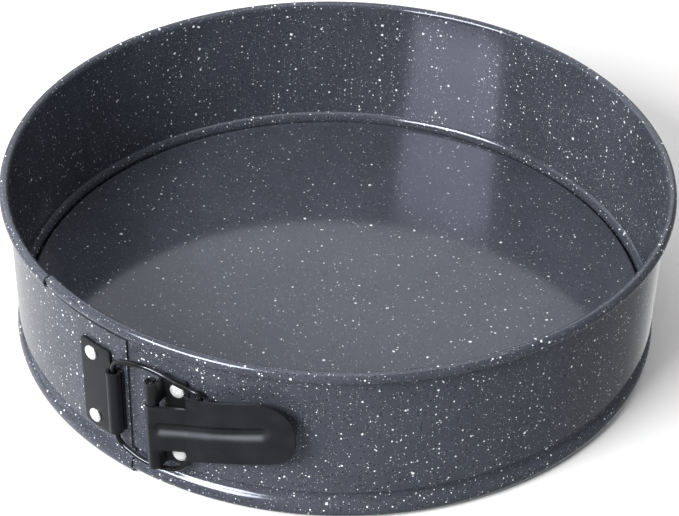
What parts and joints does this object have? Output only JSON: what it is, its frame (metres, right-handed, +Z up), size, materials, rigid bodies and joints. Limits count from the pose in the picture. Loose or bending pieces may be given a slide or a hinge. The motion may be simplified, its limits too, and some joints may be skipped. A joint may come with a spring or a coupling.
{
  "type": "springform pan",
  "caption": "Round springform cake pan: speckled coated band with rolled rim, loose base plate, over-centre lever latch with wire bail.",
  "frame": {"origin": "on the plane the pan stands on, under the middle of its overall outline, latch included; the pan's own axis is 2.7 mm from it towards +Y", "axes": "+Z up along the pan's axis, -Y through the latch, +X to the right when the latch is faced"},
  "size_m": [0.2679, 0.2732, 0.0705],
  "materials": {
    "coating": "semi-gloss stone-effect non-stick coating, slate blue-grey with white and dark flecks",
    "latch_paint": "black satin enamel on sheet steel",
    "wire": "black gloss on steel wire",
    "rivet": "bright, lightly scratched"
  },
  "bodies": {
    "back_band": {"band_back": "coating"},
    "catch_band": {"band_catch_side": "coating", "catch_plate": "latch_paint", "catch_rivet_upper": "rivet", "catch_rivet_lower": "rivet"},
    "lever_band": {"band_lever_side": "coating", "lever_bracket": "latch_paint", "bracket_rivet_upper": "rivet", "bracket_rivet_lower": "rivet", "hinge_pin": "wire"},
    "lever_arm": {"lever": "latch_paint"},
    "bail": {"bail_wire": "wire"},
    "base": {"base_plate": "coating"}
  },
  "joints": [
    {"name": "lever_throw", "type": "hinge", "parent": "lever_band", "child": "lever_arm", "pos_m": [-0.00789, -0.13407, 0.0353], "axis": [0, 0, -1], "range_deg": [0, 120]},
    {"name": "bail_swing", "type": "hinge", "parent": "catch_band", "child": "bail", "pos_m": [-0.02663, -0.12939, 0.0353], "axis": [0, 0, -1], "range_deg": [0, 48.2]},
    {"name": "catch_side_spring", "type": "hinge", "parent": "back_band", "child": "catch_band", "pos_m": [-0.11605, 0.0697, 0], "axis": [0, 0, -1], "range_deg": [0, 0.85]},
    {"name": "lever_side_spring", "type": "hinge", "parent": "back_band", "child": "lever_band", "pos_m": [0.11605, 0.0697, 0], "axis": [0, 0, 1], "range_deg": [0, 0.85]},
    {"name": "plate_lift", "type": "slide", "parent": "back_band", "child": "base", "axis": [0, 0, 1], "range_m": [0, 0.085]}
  ],
  "couplings": [
    {"joint": "bail_swing", "follows": "lever_throw", "ratio": 0.4},
    {"joint": "catch_side_spring", "follows": "lever_throw", "ratio": 0.00697},
    {"joint": "lever_side_spring", "follows": "lever_throw", "ratio": 0.00697}
  ]
}
